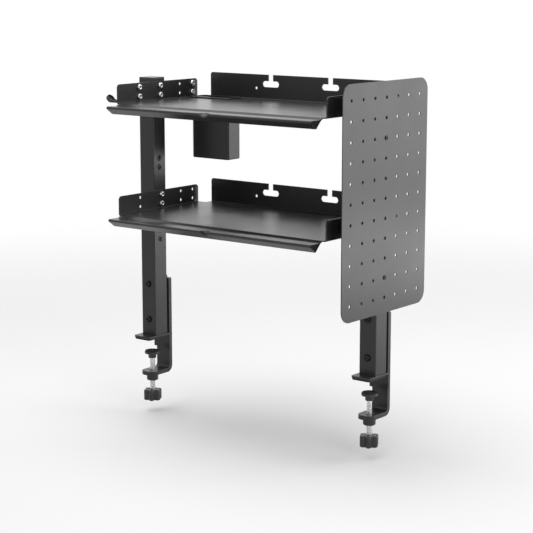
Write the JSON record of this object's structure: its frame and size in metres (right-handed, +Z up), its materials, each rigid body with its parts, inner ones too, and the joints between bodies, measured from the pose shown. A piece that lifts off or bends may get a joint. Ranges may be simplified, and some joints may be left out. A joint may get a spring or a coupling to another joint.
{
  "type": "clamp-on desk shelf",
  "caption": "Clamp-on desk shelf: bent-steel trays bolted between square posts, with a side pegboard, headphone hooks, a drop-in pen box and screw clamps.",
  "frame": {"origin": "on the desk top, midway between the posts and on their centre plane", "axes": "+X to the right, towards the pegboard; +Y to the back; +Z up"},
  "size_m": [0.6858, 0.3276, 0.743],
  "materials": {
    "coated_steel": "satin black powder coat",
    "plated_steel": "bright zinc",
    "dark_steel": "black oxide",
    "black_plastic": "matte",
    "rubber": "matte"
  },
  "bodies": {
    "frame": {"post_left": "coated_steel", "post_right": "coated_steel", "tray_lower": "coated_steel", "tray_upper": "coated_steel", "pegboard": "coated_steel", "hook_front": "coated_steel", "hook_rear": "coated_steel", "foot_left": "coated_steel", "foot_right": "coated_steel", "jaw_left": "coated_steel", "jaw_right": "coated_steel", "jaw_boss_left": "coated_steel", "jaw_boss_right": "coated_steel", "tray_bolts": "plated_steel", "hook_bolts": "plated_steel", "hook_nuts": "plated_steel", "threaded_inserts": "dark_steel", "pegboard_screws": "dark_steel", "clamp_bolts": "dark_steel", "clamp_nuts": "dark_steel", "post_caps": "black_plastic", "spacer_left": "black_plastic", "spacer_right": "black_plastic", "foot_pad_left": "rubber", "foot_pad_right": "rubber"},
    "left_pad": {"pressure_pad_left": "black_plastic", "pad_liner_left": "rubber"},
    "left_screw": {"clamp_screw_left": "plated_steel", "knob_left": "black_plastic"},
    "right_pad": {"pressure_pad_right": "black_plastic", "pad_liner_right": "rubber"},
    "right_screw": {"clamp_screw_right": "plated_steel", "knob_right": "black_plastic"},
    "pen_box": {"pen_box": "coated_steel"}
  },
  "joints": [
    {"name": "left_clamp_slide", "type": "slide", "parent": "frame", "child": "left_pad", "axis": [0, 0, 1], "range_m": [-0.0251, 0.0201]},
    {"name": "left_screw_turn", "type": "hinge", "parent": "left_pad", "child": "left_screw", "pos_m": [-0.296, -0.01, -0.047], "axis": [0, 0, 1], "range_deg": [-3000, 2400]},
    {"name": "right_clamp_slide", "type": "slide", "parent": "frame", "child": "right_pad", "axis": [0, 0, 1], "range_m": [-0.0251, 0.0201]},
    {"name": "right_screw_turn", "type": "hinge", "parent": "right_pad", "child": "right_screw", "pos_m": [0.296, -0.01, -0.047], "axis": [0, 0, 1], "range_deg": [-3000, 2400]},
    {"name": "pen_box_lift", "type": "slide", "parent": "frame", "child": "pen_box", "axis": [0, 0, 1], "range_m": [0, 0.15]}
  ],
  "couplings": [
    {"joint": "left_clamp_slide", "follows": "left_screw_turn", "m_per_rad": 0.00047746},
    {"joint": "right_clamp_slide", "follows": "right_screw_turn", "m_per_rad": 0.00047746}
  ]
}
